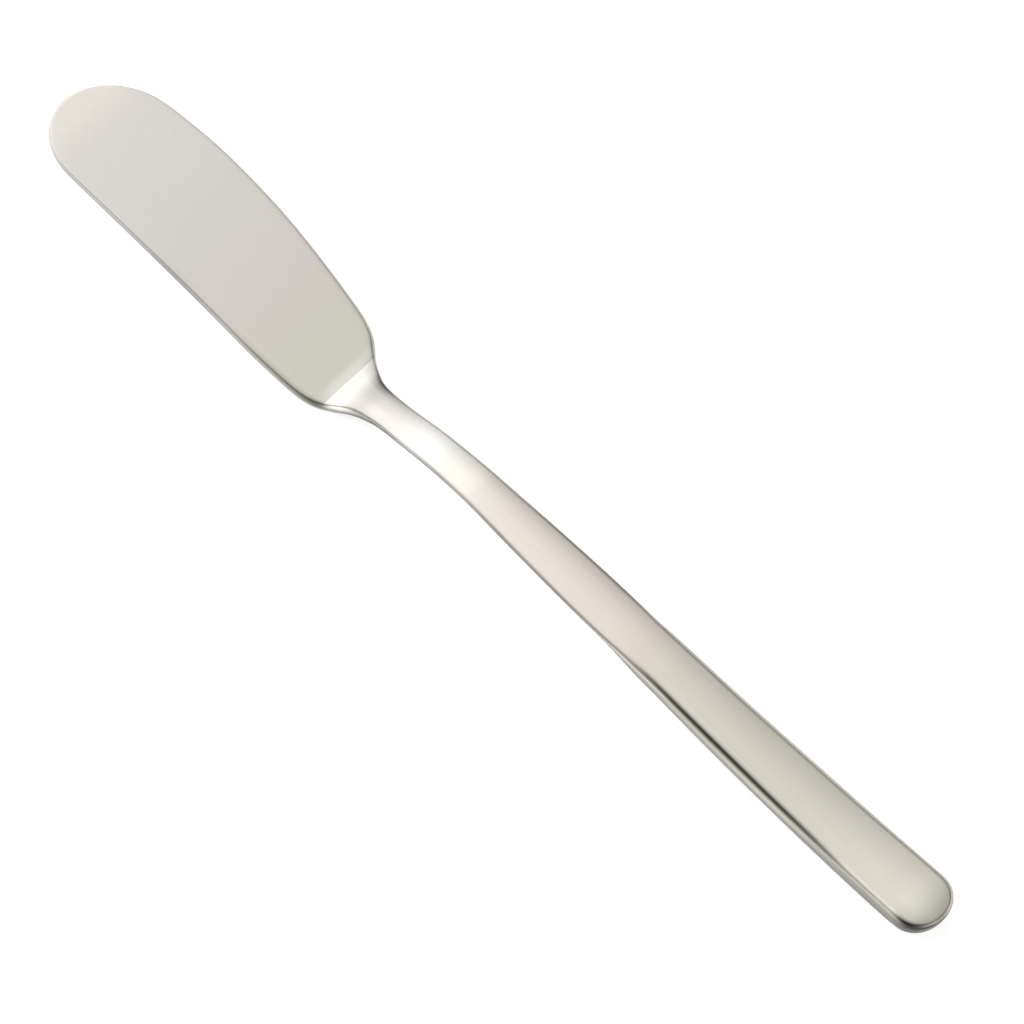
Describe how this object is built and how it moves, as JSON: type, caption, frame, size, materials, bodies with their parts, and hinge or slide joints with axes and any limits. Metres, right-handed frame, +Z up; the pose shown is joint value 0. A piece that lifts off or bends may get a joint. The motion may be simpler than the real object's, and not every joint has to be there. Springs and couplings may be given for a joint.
{
  "type": "butter knife",
  "caption": "One-piece table butter knife: flat ground blade with a rounded tip and one straight edge, cranked half-round neck and a long crowned handle with flat side walls that widens to a round end.",
  "frame": {"origin": "bottom centre of the whole knife: midway between tip and handle end, midway across, on the table it lies on", "axes": "+X along the handle towards the tip of the blade, +Y towards the blade's straight edge, +Z up from the table"},
  "size_m": [0.17, 0.019, 0.0067],
  "materials": {
    "ground_steel": "flat ground, fine matte",
    "bright_steel": "fine satin, brighter than the rest",
    "satin_steel": "satin, brushed lengthwise"
  },
  "bodies": {
    "root": {"blade": "ground_steel", "neck": "bright_steel", "handle": "satin_steel"}
  },
  "joints": []
}
